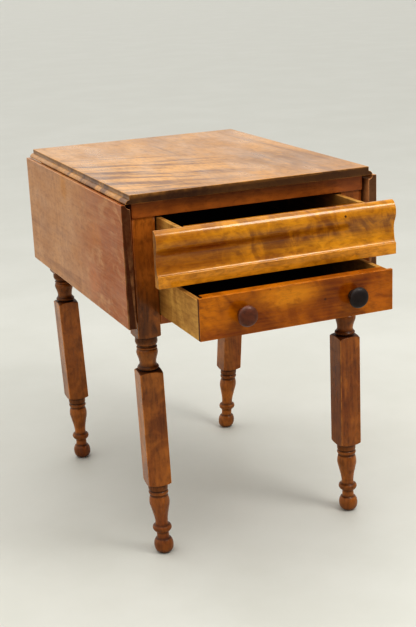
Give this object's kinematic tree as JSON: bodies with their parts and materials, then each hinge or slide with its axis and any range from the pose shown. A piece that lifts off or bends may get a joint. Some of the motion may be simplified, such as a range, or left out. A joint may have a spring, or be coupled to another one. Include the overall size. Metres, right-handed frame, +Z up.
{
  "type": "drop-leaf sewing table",
  "caption": "Wooden work table with hanging side leaves, an ogee-fronted upper drawer, a knobbed lower drawer and turned block legs.",
  "frame": {"origin": "on the floor under the middle of the table's box, leaves hanging and drawers part open", "axes": "+Z up, drawers open towards -Y, +X to the right seen from the front"},
  "size_m": [0.526, 0.8496, 0.73],
  "materials": {
    "top": "warm tan maple, old shellac with a soft sheen, faint cross figure",
    "leaf": "brown tan maple with orange streaks, soft sheen, dark end grain",
    "leg": "red brown stained hardwood, darker in the grooves of the turnings",
    "case": "red brown stained hardwood, soft sheen",
    "drawer_front": "golden amber figured maple, glossy old shellac",
    "inner_wood": "pale dry poplar, unfinished, stained by age",
    "knob": "dark brown turned hardwood, polished by handling",
    "iron": "dark aged wrought iron"
  },
  "bodies": {
    "case": {"top_board": "top", "leg_front_left": "leg", "leg_front_right": "leg", "leg_back_left": "leg", "leg_back_right": "leg", "top_rail": "case", "drawer_divider": "case", "bottom_rail": "case", "back_panel": "case", "side_panel_left": "case", "side_panel_right": "case", "leaf_bracket_left": "case", "leaf_bracket_right": "case", "lower_runner_left": "inner_wood", "lower_runner_right": "inner_wood", "upper_runner_left": "inner_wood", "upper_runner_right": "inner_wood", "lower_guide_left": "inner_wood", "lower_guide_right": "inner_wood", "upper_guide_left": "inner_wood", "upper_guide_right": "inner_wood", "kicker_left": "inner_wood", "kicker_right": "inner_wood", "bracket_backing_left": "inner_wood", "bracket_backing_right": "inner_wood", "glue_block_front_left": "inner_wood", "glue_block_front_right": "inner_wood", "glue_block_back_left": "inner_wood", "glue_block_back_right": "inner_wood", "bracket_pin_left": "iron", "bracket_pin_right": "iron", "top_hinge_plate_front_left": "iron", "top_hinge_plate_front_right": "iron", "top_hinge_plate_back_left": "iron", "top_hinge_plate_back_right": "iron", "hinge_pin_front_left": "iron", "hinge_pin_front_right": "iron", "hinge_pin_back_left": "iron", "hinge_pin_back_right": "iron"},
    "left_leaf": {"leaf_left": "leaf", "leaf_hinge_plate_front_left": "iron", "leaf_hinge_plate_back_left": "iron"},
    "right_leaf": {"leaf_right": "leaf", "leaf_hinge_plate_front_right": "iron", "leaf_hinge_plate_back_right": "iron"},
    "upper_drawer": {"upper_drawer_front": "drawer_front", "upper_drawer_side_left": "inner_wood", "upper_drawer_side_right": "inner_wood", "upper_drawer_back": "inner_wood", "upper_drawer_bottom": "inner_wood"},
    "lower_drawer": {"lower_drawer_front": "drawer_front", "lower_drawer_side_left": "inner_wood", "lower_drawer_side_right": "inner_wood", "lower_drawer_back": "inner_wood", "lower_drawer_bottom": "inner_wood", "knob_left": "knob", "knob_right": "knob"}
  },
  "joints": [
    {"name": "left_leaf_swing", "type": "hinge", "parent": "case", "child": "left_leaf", "pos_m": [-0.246, 0.10175, 0.713], "axis": [0, 1, 0], "range_deg": [0, 90]},
    {"name": "right_leaf_swing", "type": "hinge", "parent": "case", "child": "right_leaf", "pos_m": [0.246, 0.10175, 0.713], "axis": [0, -1, 0], "range_deg": [0, 90]},
    {"name": "upper_drawer_slide", "type": "slide", "parent": "case", "child": "upper_drawer", "axis": [0, -1, 0], "range_m": [-0.1095, 0.22]},
    {"name": "lower_drawer_slide", "type": "slide", "parent": "case", "child": "lower_drawer", "axis": [0, -1, 0], "range_m": [-0.1914, 0.14]}
  ]
}
